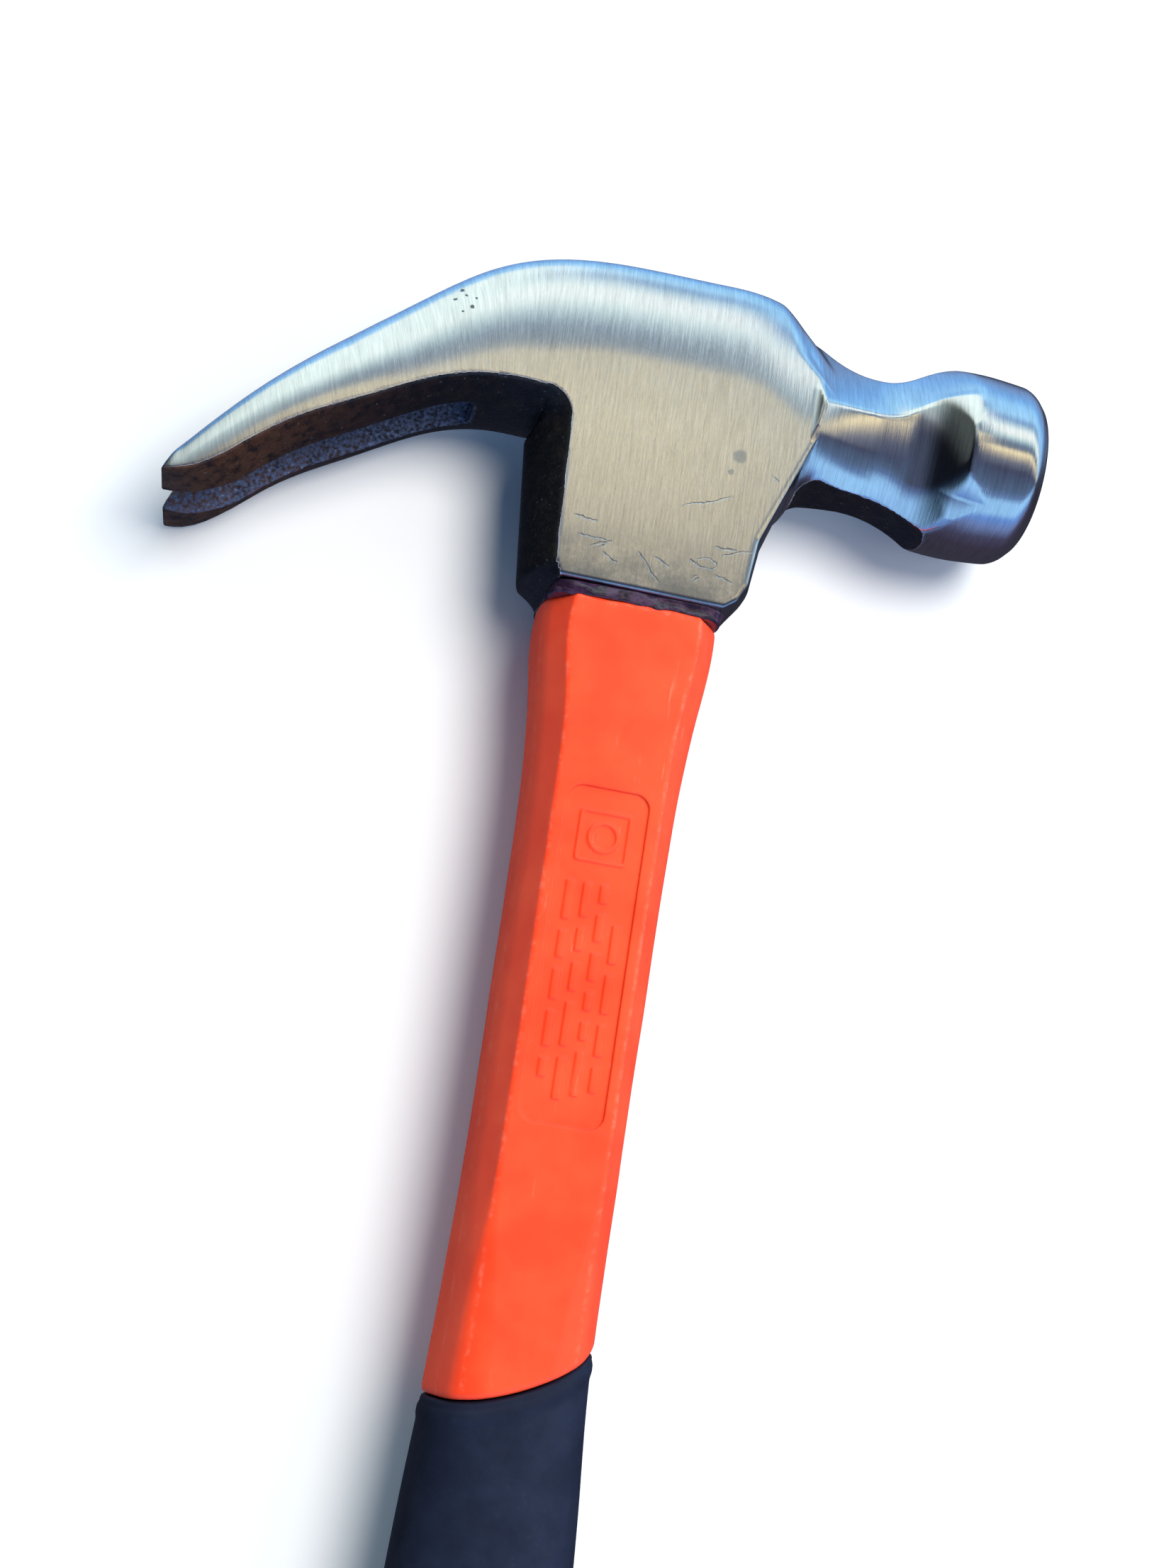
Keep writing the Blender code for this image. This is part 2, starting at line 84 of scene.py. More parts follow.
SLOT_MOUTH = 4.9
SLOT_AT_TIP = 4.1
SLOT_AT_ROOT = 1.3
SLOT_ROOT_X = -29.0
SLOT_BEVEL = 0.35
SLOT_LEAN = 0.24               # how far the slot's root leans for each mm into the claw
SLOT_LIP = 1.3                 # depth over which the slot's mouth keeps its width
SLOT_ROUNDING = 2.0

POLL_AXIS = 34.5
NECK_START = 14.0
# Neck facets: tilt, waist, flare towards the cheek (start, radius), flare towards the bell, crown
# (middle, radius) and the rounding of the edge to the facet above
FACETS = ((90, 10.0, (33, 14), (34, 10), (0, 60), 0.3), (34, 9.2, (34, 25), (34, 11), (0.9, 40), 0.4),
          (-12, 9.1, (34, 19), (38, 7), (0.4, 28), 0.2), (-41, 10.0, (33, 19), (33, 20), (-3.5, 60), 0.7),
          (-90, 10.3, (26, 3), (31, 20), (0, 60), 0.25))
# Rounding between the neck and the bell, by the angle round the neck
BELL_EDGE = ((-90, 0.4), (-68, 0.4), (-56, 0.6), (-42, 2.6), (-30, 0.9), (-24, 0.35), (6, 0.35),
             (16, 1.5), (34, 2.6), (90, 1.8))
BELL = ((10, 15.6), (30, 14.6), (40, 14.35), (45, 14.7), (50, 14.9), (54, 14.65), (57.6, 14.25), (62, 13.4))
FACE_X = 60.2
CHAMFER = (58.5, 13.3)
CHAMFER_NORMAL = (0.72, 0.694)
FACE_DOME = 0.0015             # how far the face falls back for each square mm off its middle

EYE_BOTTOM = (22.0, 12.8)
EYE_TOP = (24.4, 13.4)
EYE_TOP_Y = 53.0


def spline(points):
    """Natural cubic spline through the points, level or straight beyond its ends."""
    x, y = np.array(points, float).T
    step, slope = np.diff(x), np.diff(y) / np.diff(x)
    system, right = np.eye(len(x)), np.zeros(len(x))
    for i in range(1, len(x) - 1):
        system[i, i - 1:i + 2] = step[i - 1], 2 * (step[i - 1] + step[i]), step[i]
        right[i] = 6 * (slope[i] - slope[i - 1])
    bend = np.linalg.solve(system, right)

    def height(at):
        inside = np.clip(at, x[0], x[-1])
        i = np.clip(np.searchsorted(x, inside) - 1, 0, len(x) - 2)
        d = inside - x[i]
        rise = slope[i] - step[i] * (2 * bend[i] + bend[i + 1]) / 6
        value = y[i] + rise * d + bend[i] * d * d / 2 + (bend[i + 1] - bend[i]) * d ** 3 / (6 * step[i])
        first = slope[0] - step[0] * bend[1] / 6
        last = slope[-1] + step[-1] * bend[-2] / 6
        return value + first * np.minimum(at - x[0], 0) + last * np.maximum(at - x[-1], 0)
    return height


def smooth(low, high, value):
    """Smooth step from 0 at low to 1 at high."""
    t = np.clip((value - low) / (high - low), 0, 1)
    return t * t * (3 - 2 * t)


def both(a, b, r):
    """Intersection of two fields, with its edge rounded."""
    return np.minimum(-r, np.maximum(a, b)) + np.hypot(np.maximum(r + a, 0), np.maximum(r + b, 0))


def either(a, b, r):
    """Union of two fields, with a fillet."""
    return np.maximum(r, np.minimum(a, b)) - np.hypot(np.maximum(r - a, 0), np.maximum(r - b, 0))


def superellipse(x, z, half_x, half_z, power=4.0):
    """Field of a rounded rectangle."""
    r = (np.abs(x / half_x) ** power + np.abs(z / half_z) ** power) ** (1 / power)
    return (r - 1) * np.minimum(half_x, half_z)


top_edge = spline(CLAW_TOP)
under_edge = spline(CLAW_UNDER)
claw_half = spline(CLAW_HALF)
bell_radius = spline(BELL)


def lower_outline():
    """Head's lower outline, from the claw's tip round the socket to the shoulder.

    Each row has X, Y, the bulge of its draft ridge, the height of its rolled edge, and 1 where the surface
    is left as it was forged.
    """
    rows = [(-90, 67, 0, 0, 1)]
    claw_x = np.linspace(CLAW_UNDER[0][0], CLAW_UNDER[-1][0], 34)
    for number, x in enumerate(claw_x):
        rows.append((x, float(under_edge(x)), CLAW_RIDGE * min(1, number / 6), 0, 1))
    centre = (SOCKET_TOP_LEFT[0] - HOOK_RADIUS, SOCKET_TOP_LEFT[1])
    for t in np.linspace(0, 1, 11)[1:]:
        a = np.pi / 2 * (1 - t)
        rows.append((centre[0] + HOOK_RADIUS * np.cos(a), centre[1] + HOOK_RADIUS * np.sin(a),
                     CLAW_RIDGE + (SOCKET_RIDGE - CLAW_RIDGE) * t + HOOK_FILL * np.sin(np.pi * t), 0, 1))
    rows.append((*SOCKET_BOTTOM_LEFT, SOCKET_RIDGE_LOW, 0, 1))
    rows.append((SOCKET_LEFT, 0, SOCKET_RIDGE_END, 0, 1))
    rows.append((SOCKET_LEFT + 0.5, 0, 0, 0, 0))
    rows.append((SOCKET_RIGHT, 0, 0, 0.3 * POLL_SIDE_ROLL, 0))
    for (x, y), roll in zip(SOCKET_SIDE_RIGHT, (0.5, 0.85, 1)):
        rows.append((x, y, 0, roll * POLL_SIDE_ROLL, 0))
    rows.append((*CHEEK_PEAK, 0, 0, 0))
    rows.append((*SHOULDER_END, 0, 0, 0))
    rows.append((2 * SHOULDER_END[0] - CHEEK_PEAK[0], 2 * SHOULDER_END[1] - CHEEK_PEAK[1], 0, 0, 0))
    return np.array(rows, float)


OUTLINE = lower_outline()


def nearest_on_outline(x, y):
    """Signed distance to the lower outline, positive outside, and the outline's values there."""
    x, y = np.broadcast_arrays(x, y)
    best = np.full(x.shape, 1e9)
    values = np.zeros((3,) + x.shape)
    for start, end in zip(OUTLINE, OUTLINE[1:]):
        dx, dy = end[0] - start[0], end[1] - start[1]
        square = dx * dx + dy * dy
        t = np.clip(((x - start[0]) * dx + (y - start[1]) * dy) / square, 0, 1)
        ox, oy = x - start[0] - t * dx, y - start[1] - t * dy
        distance = np.hypot(ox, oy)
        closer = distance < best
        best = np.where(closer, distance, best)
        for k in range(3):
            values[k] = np.where(closer, start[2 + k] + t * (end[2 + k] - start[2 + k]), values[k])
    return np.where(inside_outline(x, y), -best, best), values


def inside_outline(x, y):
    """1 where the point lies inside the lower outline closed far above the head."""
    ring = np.vstack([OUTLINE[:, :2], [(60, 200), (-120, 200)]])
    crossings = np.zeros(x.shape, int)
    for (x0, y0), (x1, y1) in zip(ring, np.roll(ring, -1, axis=0)):
        spans = (y0 > y) != (y1 > y)
        with np.errstate(divide="ignore", invalid="ignore"):
            at = x0 + (y - y0) * (x1 - x0) / (y1 - y0 if y1 != y0 else 1e-12)
        crossings += spans & (x < at)
    return crossings % 2 == 1


def facet_offset(facet, x):
    """Distance of a neck facet from the poll's axis."""
    _, waist, (start_x, start_radius), (end_x, end_radius), _, _ = facet
    flare = np.maximum(0, start_x - x) ** 2 / (2 * start_radius)
    flare = flare + np.maximum(0, x - end_x) ** 2 / (2 * end_radius)
    return waist + flare


def head_parts(x, y, z):
    """Fields of the head and of the surfaces that its finish depends on."""
    depth_z = np.abs(z)
    signed, (ridge, roll, forged) = nearest_on_outline(x, y)
    half = claw_half(np.clip(x, CLAW_HALF[0][0], CLAW_HALF[-1][0]))
    share = np.clip(depth_z / half, 0, 1)
    under = signed - ridge * (1 - share ** 2) - roll * np.sqrt(1 - share ** 2)

    slope = (top_edge(x + 0.05) - top_edge(x - 0.05)) / 0.1
    thick = np.interp(x, *zip(*THICKNESS))
    thick = np.where(x > BODY_X, BODY_THICKNESS, thick)
    deep = np.minimum(SHOULDER_DEPTH, 0.72 * thick)
    inset = np.minimum(SHOULDER_INSET, 0.2 + 0.4 * thick)
    above = (y - top_edge(x)) / np.sqrt(1 + slope ** 2)
    flat = np.clip(depth_z / (half - inset), 0, 1)
    above = above - np.minimum(CROWN, 0.03 * thick) * (1 - flat ** 2) ** 2
    a = np.maximum(0, (deep + above) / deep)
    b = np.maximum(0, (depth_z - half + inset) / inset)
    k = np.hypot(a, b)
    steep = np.hypot(a / deep, b / inset)
    shell = (k - 1) * k / np.maximum(steep, 1e-3)
    shell = np.where(k < 1e-3, np.maximum(above, depth_z - half), shell)
    shell = both(shell, CLAW_TIP_X - x, TIP_ROUNDING)

    corner = 0.35 + 4.0 * smooth(8, 18, x) * smooth(36, 44, y)
    body = both(shell, under, corner)

    ry, rz = y - POLL_AXIS, depth_z
    radius = np.hypot(ry, rz)
    turned = both(radius - bell_radius(x), CHAMFER_NORMAL[0] * (x - CHAMFER[0])
                  + CHAMFER_NORMAL[1] * (radius - CHAMFER[1]), 0.8)
    turned = both(turned, x - FACE_X + FACE_DOME * radius ** 2, 0.6)
    neck = np.full(np.broadcast(x, y, z).shape, -50.0)
    bottom = neck
    for facet in FACETS:
        angle = np.radians(facet[0])
        offset = facet_offset(facet, x)
        steepness = (facet_offset(facet, x + 0.05) - offset) / 0.05
        middle, radius_of_crown = facet[4]
        aside = ry * np.cos(angle) - rz * np.sin(angle) - middle
        crown = aside ** 2 / (2 * radius_of_crown)
        plane = (ry * np.sin(angle) + rz * np.cos(angle) - offset + crown) / np.sqrt(1 + steepness ** 2)
        neck = both(neck, plane, facet[5])
        bottom = plane
    edge = np.interp(np.degrees(np.arctan2(ry, rz)), *zip(*BELL_EDGE))
    neck = both(neck, turned, edge)
    limit = shell + 0.5 * smooth(22.5, 18, x) + 1.2 * smooth(37.5, 42, y) * smooth(27, 23, x)
    limit = limit - 0.35 * np.maximum(0, x - 21.5) ** 2
    neck = both(neck, limit, 0.3)
    neck = np.maximum(neck, NECK_START - x)
    fillet = 0.06 + 2.4 * smooth(11.0, 7.5, depth_z)
    whole = either(body, neck, fillet)

    inward = -signed
    leaning_x = x + SLOT_LEAN * np.maximum(inward, 0)
    along = (leaning_x - CLAW_TIP_X) / (SLOT_ROOT_X - CLAW_TIP_X)
    through = SLOT_AT_TIP + (SLOT_AT_ROOT - SLOT_AT_TIP) * np.clip(along, 0, 1.2)
    bevel = np.clip((inward + SLOT_LIP) / (SLOT_BEVEL * thick + SLOT_LIP), 0, 1)
    slot = depth_z - (SLOT_MOUTH + (through - SLOT_MOUTH) * bevel)
    slot = both(slot, leaning_x - SLOT_ROOT_X, SLOT_ROUNDING)
    whole = both(whole, -slot, 0.35)

    t = y / EYE_TOP_Y
    eye = superellipse(x, z, (EYE_BOTTOM[0] + (EYE_TOP[0] - EYE_BOTTOM[0]) * t) / 2,
                       (EYE_BOTTOM[1] + (EYE_TOP[1] - EYE_BOTTOM[1]) * t) / 2)
    whole = both(whole, -eye, 0.5)
    return whole, under, forged, slot, bottom, eye


def head_field(x, y, z):
    return head_parts(x, y, z)[0]


# ---- Meshing ---------------------------------------------------------------------------------------

def surface_net(field, xs, ys, zs):
    """Closed quad mesh of the field's zero surface on a grid with any spacing."""
    values = field(xs[:, None, None], ys[None, :, None], zs[None, None, :])
    values = np.broadcast_to(values, (len(xs), len(ys), len(zs)))
    inside = values < 0
    count = np.zeros(tuple(n - 1 for n in inside.shape), np.int8)
    corners = [(i, j, k) for i in (0, 1) for j in (0, 1) for k in (0, 1)]
    for i, j, k in corners:
        count += inside[i:i + count.shape[0], j:j + count.shape[1], k:k + count.shape[2]]
    cells = np.argwhere((count > 0) & (count < 8))
    number = np.full(count.shape, -1, np.int64)
    number[tuple(cells.T)] = np.arange(len(cells))
    grid = (xs, ys, zs)
    total, hits = np.zeros((len(cells), 3)), np.zeros(len(cells))
    for axis in range(3):
        for corner in corners:
            if corner[axis]:
                continue
            near = cells + corner
            far = near.copy()
            far[:, axis] += 1
            a, b = values[tuple(near.T)], values[tuple(far.T)]
            crossing = (a < 0) != (b < 0)
            t = np.where(crossing, a / np.where(crossing, a - b, 1), 0)
            point = np.stack([grid[c][near[:, c]] for c in range(3)], 1)
            point[:, axis] += t * (grid[axis][far[:, axis]] - grid[axis][near[:, axis]])
            total += point * crossing[:, None]
            hits += crossing
    points = total / hits[:, None]
    quads = []
    for axis in range(3):
        u, v = [c for c in range(3) if c != axis]
        low = [slice(None)] * 3
        low[axis] = slice(None, -1)
        high = [slice(None)] * 3
        high[axis] = slice(1, None)
        change = inside[tuple(low)] != inside[tuple(high)]
        edges = np.argwhere(change)
        keep = (edges[:, u] > 0) & (edges[:, v] > 0)
        keep &= (edges[:, u] < inside.shape[u] - 1) & (edges[:, v] < inside.shape[v] - 1)
        edges = edges[keep]
        ring = []
        for du, dv in ((1, 1), (0, 1), (0, 0), (1, 0)):
            cell = edges.copy()
            cell[:, u] -= du
            cell[:, v] -= dv
            ring.append(number[tuple(cell.T)])
        ring = np.stack(ring, 1)
        outward = inside[tuple(edges.T)]
        if axis == 1:
            outward = ~outward
        ring[~outward] = ring[~outward][:, ::-1]
        quads.append(ring)
    return points, np.vstack(quads)


def settle(points, field, rounds=2, step=0.02):
    """Move the points on to the field's zero surface."""
    for _ in range(rounds):
        x, y, z = points.T
        value = field(x, y, z)
        slope = np.stack([field(x + step, y, z) - field(x - step, y, z),
                          field(x, y + step, z) - field(x, y - step, z),
                          field(x, y, z + step) - field(x, y, z - step)], 1) / (2 * step)
        move = value[:, None] * slope / np.maximum((slope ** 2).sum(1), 0.25)[:, None]
        length = np.linalg.norm(move, axis=1, keepdims=True)
        points = points - move * np.minimum(1, 0.3 / np.maximum(length, 1e-9))
    return points


def make_mesh(name, points, quads, attributes=None):
    """Object from points in hammer axes, in millimetres, with its float or vector attributes."""
    mesh = bpy.data.meshes.new(name)
    placed = points * MM + np.array(ORIGIN)
    mesh.vertices.add(len(placed))
    mesh.vertices.foreach_set("co", placed.astype(np.float32).ravel())
    mesh.loops.add(4 * len(quads))
    mesh.loops.foreach_set("vertex_index", quads.astype(np.int32).ravel())
    mesh.polygons.add(len(quads))
    mesh.polygons.foreach_set("loop_start", np.arange(0, 4 * len(quads), 4, dtype=np.int32))
    mesh.polygons.foreach_set("loop_total", np.full(len(quads), 4, np.int32))
    for key, data in (attributes or {}).items():
        if data.ndim == 1:
            mesh.attributes.new(key, "FLOAT", "POINT").data.foreach_set("value", data.astype(np.float32))
        else:
            mesh.attributes.new(key, "FLOAT_VECTOR", "POINT").data.foreach_set(
                "vector", data.astype(np.float32).ravel())
    mesh.update(calc_edges=True)
    mesh.validate()
    mesh.shade_smooth()
    piece = bpy.data.objects.new(name, mesh)
    bpy.context.collection.objects.link(piece)
    return piece


def steps(*stretches):
    """Grid lines: (end, spacing) stretches after the first number."""
    start = stretches[0]
    lines = [np.array([start])]
    for end, spacing in stretches[1:]:
        number = max(1, int(round((end - start) / spacing)))
        lines.append(np.linspace(start, end, number + 1)[1:])
        start = end
    return np.concatenate(lines)


def build_head():
    """Head's mesh, with where it is forged, and the direction of its brushing."""
    fine = 0.4
    xs, ys = steps(-74.5, (62, fine)), steps(-1.5, (55.5, fine))
    zs = steps(-15.9, (15.9, fine))
    points, quads = surface_net(head_field, xs, ys, zs)
    points = settle(points, head_field)
    x, y, z = points.T
    _, under, forged, slot, bottom, eye = head_parts(x, y, z)
    rough = forged * smooth(-0.45, -0.1, under)
    rough = np.maximum(rough, smooth(0.45, 0.1, np.abs(slot)) * (x < SLOT_ROOT_X + 1))
    # The neck's bottom facet is coloured as dark scale too.
    rough = np.maximum(rough, smooth(-0.3, -0.08, bottom) * smooth(20, 23, x) * smooth(46.6, 46.0, x))
    rough = np.maximum(rough, smooth(0.3, 0.1, np.abs(eye)))
    wall = smooth(0.45, 0.1, np.abs(slot)) * (x < SLOT_ROOT_X + 1)
    lean = 0.30 * smooth(-15, -40, x)
    across = np.stack([np.ones_like(x), lean, np.zeros_like(x)], 1)
    streak = x + lean * (y - 30)
    attributes = {"forged": rough, "wall": wall, "across": across, "streak": streak}
    return make_mesh("head", points, quads, attributes)


# ---- Shape of the handle ---------------------------------------------------------------------------

CORE_HALF = (9.5, 5.2)
CORE_GAP = 0.3
RESIN_TOP = 50.0
BEAD = (-0.35, 13.15, 10.95)   # middle, half width, half depth
BEAD_TOP = -0.12
BEAD_BOTTOM = -2.2

# Sections of the jacket: Y, middle, half width, half width of the flat, half depth of the side
JACKET_SECTIONS = ((-120.0, -0.5, 12.0, 7.7, 5.4), (-104.0, -0.4, 11.6, 7.6, 4.9),
                   (-88.0, -0.3, 11.2, 7.6, 4.5), (-60.0, -0.3, 11.3, 7.7, 4.5),
                   (-30.0, -0.3, 11.7, 8.0, 4.6), (-17.0, -0.3, 12.6, 8.6, 4.7),
                   (-4.8, -0.3, 13.7, 9.7, 4.9), (-1.9, -0.2, 13.6, 9.4, 4.6))
JACKET_TOP = -1.9
JACKET_HALF = 11.0
JOINT = (-116.0, 0.422, 0.0172)   # joint with the grip: height, slope and curve over X
JOINT_STEEPNESS = 1.09         # length of the joint for each mm of X
JOINT_GAP = 0.3
FIELD = (-30.5, -79.5, 6.1)    # sunk label field: top, bottom, half width
FIELD_DEPTH = 0.5
FIELD_RADIUS = 2.3
RAISED = 0.3                   # height of the plain marks in the label field

# Sections of the grip: Y, middle, half width, half depth
GRIP_SECTIONS = ((-277.0, 1.8, 16.9, 13.25), (-268.0, 1.6, 16.6, 13.2), (-252.0, 0.8, 13.9, 12.1),
                 (-232.0, 0.2, 13.3, 11.9), (-200.0, 0.0, 14.4, 12.5), (-170.0, 0.0, 14.1, 12.2),
                 (-142.0, -0.3, 13.0, 11.4), (-130.0, -0.4, 12.4, 11.0), (-119.0, -0.5, 11.7, 10.6),
                 (-105.0, -0.5, 11.2, 10.3))
BUTT_Y = -277.0
BORE_END = -268.3
GROOVES = (-160.0, -246.0)     # shallow side grooves: highest and lowest
GROOVE_PITCH = 6.5
GROOVE_DEPTH = 0.42


def columns(rows):
    """A spline for each column of a table, over its first column."""
    values = np.array(rows, float)
    return [spline(np.stack([values[:, 0], values[:, c]], 1)) for c in range(1, values.shape[1])]


jacket_columns = columns(JACKET_SECTIONS)
grip_columns = columns(GRIP_SECTIONS)


def ripple(x, y, z, pitch, seed):
    """Smooth, irregular wave between about -1 and 1, with bumps a pitch apart."""
    draw = np.random.default_rng(seed)
    total = 0
    for _ in range(9):
        way = draw.normal(size=3)
        way *= 2 * np.pi / pitch * draw.uniform(0.5, 1.3) / np.linalg.norm(way)
        total = total + np.sin(way[0] * x + way[1] * y + way[2] * z + draw.uniform(0, 2 * np.pi))
    return total / 4


def joint_height(x):
    """Height of the joint between jacket and grip."""
    return JOINT[0] + JOINT[1] * x + JOINT[2] * x * x


def rounded_box(u, v, half_u, half_v, r):
    """Flat field of a rectangle with round corners."""
    a, b = np.abs(u) - half_u + r, np.abs(v) - half_v + r
    return np.hypot(np.maximum(a, 0), np.maximum(b, 0)) + np.minimum(np.maximum(a, b), 0) - r


def label_marks(u, y):
    """Plain frame, ring and dashes that fill the label field, as a flat field."""
    frame_y = FIELD[0] - 7.2
    box = rounded_box(u, y - frame_y, 3.9, 3.9, 0.7)
    marks = np.abs(box + 0.25) - 0.25
    ring = np.hypot(u, y - frame_y) - 2.1
    marks = np.minimum(marks, np.abs(ring) - 0.3)
    draw = np.random.default_rng(5)
    for column, first in ((3.9, -50.0), (1.35, -44.5), (-1.2, -44.5), (-3.75, -44.5)):
        at = first
        while at > FIELD[1] + 5.5:
            length = min(draw.uniform(2.6, 6.5), at - FIELD[1] - 2.2)
            dash = rounded_box(u - column, y - at + length / 2, 0.62, length / 2, 0.3)
            marks = np.minimum(marks, dash)
            at -= length + 1.5
    return marks


def jacket_field(x, y, z):
    """Octagonal sleeve with a parting line, a sunk label field and a moulded dent near the grip."""
    middle, half, flat, side = [column(y) for column in jacket_columns]
    u, depth_z = x - middle, np.abs(z)
    wide = np.abs(u)
    nx, nz = JACKET_HALF - side, half - flat
    bevel = ((wide - half) * nx + (depth_z - side) * nz) / np.hypot(nx, nz)
    soft = 0.4 + 2.4 * smooth(-84, -113, y)
    crown = 0.12 * (1 - np.clip(wide / flat, 0, 1) ** 2)
    shell = both(depth_z - JACKET_HALF + 0.12 - crown, bevel, soft)
    shell = both(shell, wide - half, soft + 1.2)
    shell = shell + 0.03 * ripple(x, y, z, 14, 3) - 0.1 * np.exp(-(z / 0.22) ** 2) * (y < -3)
    shell = both(shell, y - JACKET_TOP + 0.1 * ripple(x, 0, z, 5, 8), 0.9)
    shell = both(shell, (joint_height(x) - y) / JOINT_STEEPNESS, 0.9)
    edge = rounded_box(u, y - (FIELD[0] + FIELD[1]) / 2, FIELD[2], (FIELD[0] - FIELD[1]) / 2, FIELD_RADIUS)
    marks = label_marks(u, y)
    floor_z = JACKET_HALF - FIELD_DEPTH + RAISED * smooth(0.12, -0.12, marks)
    recess = both(edge, floor_z - depth_z, 0.12)
    shell = both(shell, -recess, 0.16)
    dent = np.abs(np.hypot(u - 6.6, y + 103.4) - 2.0)
    shell = shell + 0.16 * np.exp(-(dent / 0.25) ** 2) * smooth(-104.4, -102.8, y - 0.4 * u) * (z > 0)
    bore = superellipse(x, z, CORE_HALF[0] + CORE_GAP, CORE_HALF[1] + CORE_GAP)
    return both(shell, -bore, 0.1)


def jacket_edges(points):
    """1 along the jacket's long edges and its top rim, where it is worn."""
    x, y, z = points.T
    middle, half, flat, side = [column(y) for column in jacket_columns]
    wide, depth_z = np.abs(x - middle), np.abs(z)
    worn = smooth(0.55, 0.1, np.abs(wide - flat)) * (depth_z > side)
    worn = np.maximum(worn, smooth(0.6, 0.15, np.abs(depth_z - side)) * (wide > flat))
    return {"worn": np.maximum(worn, smooth(JACKET_TOP - 1.6, JACKET_TOP - 0.5, y))}


def grip_field(x, y, z):
    """Rubber sleeve with a rim at the joint and shallow grooves along its sides."""
    middle, half, deep = [column(y) for column in grip_columns]
    u = x - middle
    r = (np.abs(u / half) ** 2.5 + np.abs(z / deep) ** 2.5) ** 0.4
    slope = np.hypot(u / half ** 2, z / deep ** 2) / np.maximum(np.hypot(u / half, z / deep), 1e-6)
    shell = (r - 1) / np.maximum(slope, 0.03)
    below = (joint_height(x) - JOINT_GAP - y) / JOINT_STEEPNESS
    shell = shell - 0.22 * smooth(0.9, 1.5, below) * smooth(3.4, 2.2, below)
    wave = np.cos(2 * np.pi * (y - GROOVES[0]) / GROOVE_PITCH)
    groove = smooth(0.55, 0.95, wave) * smooth(0.30, 0.55, np.abs(u) / half)
    groove = groove * smooth(GROOVES[0], GROOVES[0] - 3, y) * smooth(GROOVES[1], GROOVES[1] + 3, y)
    shell = shell + GROOVE_DEPTH * groove
    shell = both(shell, -below, 0.55)
    shell = both(shell, BUTT_Y - y, 2.4)
    bore = both(superellipse(x, z, CORE_HALF[0] + CORE_GAP, CORE_HALF[1] + CORE_GAP), BORE_END - y, 0.2)
    return both(shell, -bore, 0.1)


def bead_field(x, y, z):
    """Uneven ring of squeezed-out resin under the head."""
    lump = 0.22 * ripple(x, 2 * y, z, 5.5, 21) + 0.1 * ripple(x, y, z, 2.1, 22)
    shell = superellipse(x - BEAD[0], z, BEAD[1], BEAD[2], 7.0) - lump
    shell = both(shell, y - BEAD_TOP, 0.25)
    shell = both(shell, BEAD_BOTTOM - y + 0.3 * ripple(x, 0, z, 6, 23) - 0.15 * lump, 0.35)
    shell = both(shell, 0.03 - jacket_field(x, y, z), 0.1)
    return both(shell, -superellipse(x, z, CORE_HALF[0] + CORE_GAP, CORE_HALF[1] + CORE_GAP), 0.1)


def resin_field(x, y, z):
    """Cast resin in the eye, with a rim that creeps up the walls."""
    t = y / EYE_TOP_Y
    shell = superellipse(x, z, (EYE_BOTTOM[0] + (EYE_TOP[0] - EYE_BOTTOM[0]) * t) / 2 - 0.04,
                         (EYE_BOTTOM[1] + (EYE_TOP[1] - EYE_BOTTOM[1]) * t) / 2 - 0.04)
    core = superellipse(x, z, CORE_HALF[0] + 0.04, CORE_HALF[1] + 0.04)
    creep = 0.5 * smooth(-0.7, 0, shell) + 0.25 * smooth(0.7, 0, core) + 0.1 * ripple(x, 0, z, 4, 31)
    shell = both(shell, y - RESIN_TOP - creep, 0.12)
    shell = both(shell, 0.2 - y, 0.2)
    return both(shell, -core, 0.05)


def build_piece(name, field, xs, ys, zs, node, attributes=None):
    """Mesh a field, in the place of a CAD node."""
    points, quads = surface_net(field, xs, ys, zs)
    points = settle(points, field)
    piece = make_mesh(name, points, quads, attributes(points) if attributes else None)
    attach(piece, "root")
    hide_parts(node)
    return piece


coarse = 1.0
head = build_head()
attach(head, "root")
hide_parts("hammer_head")
jacket = build_piece(
    "jacket", jacket_field, steps(-14.6, (14.6, 0.3 * coarse)),
    steps(-125, (-82, 0.6 * coarse), (-28, 0.24 * coarse), (-5, 0.6 * coarse), (-0.8, 0.25)),
    steps(-11.6, (-10, 0.18), (-4.5, 0.5), (-0.6, 0.5), (0.6, 0.15), (4.5, 0.5), (10, 0.5), (11.6, 0.18)),
    "handle_jacket", jacket_edges)
grip = build_piece(
    "rubber_grip", grip_field, steps(-18, (21, 0.55 * coarse)),
    steps(-278.5, (-270, 0.5), (-135, 0.6 * coarse), (-106, 0.35 * coarse)),
    steps(-14.2, (14.2, 0.55 * coarse)), "grip")
bead = build_piece(
    "glue_bead", bead_field, steps(-14.6, (14.6, 0.25)), steps(-3.6, (0.6, 0.14)),
    steps(-12.4, (12.4, 0.25)), "adhesive_bead")
resin = build_piece(
    "resin_plug", resin_field, steps(-13.2, (13.2, 0.35)), steps(-0.6, (45, 3.0), (52, 0.25)),
    steps(-7.8, (7.8, 0.3)), "epoxy_fill")


# ---- Materials -------------------------------------------------------------------------------------

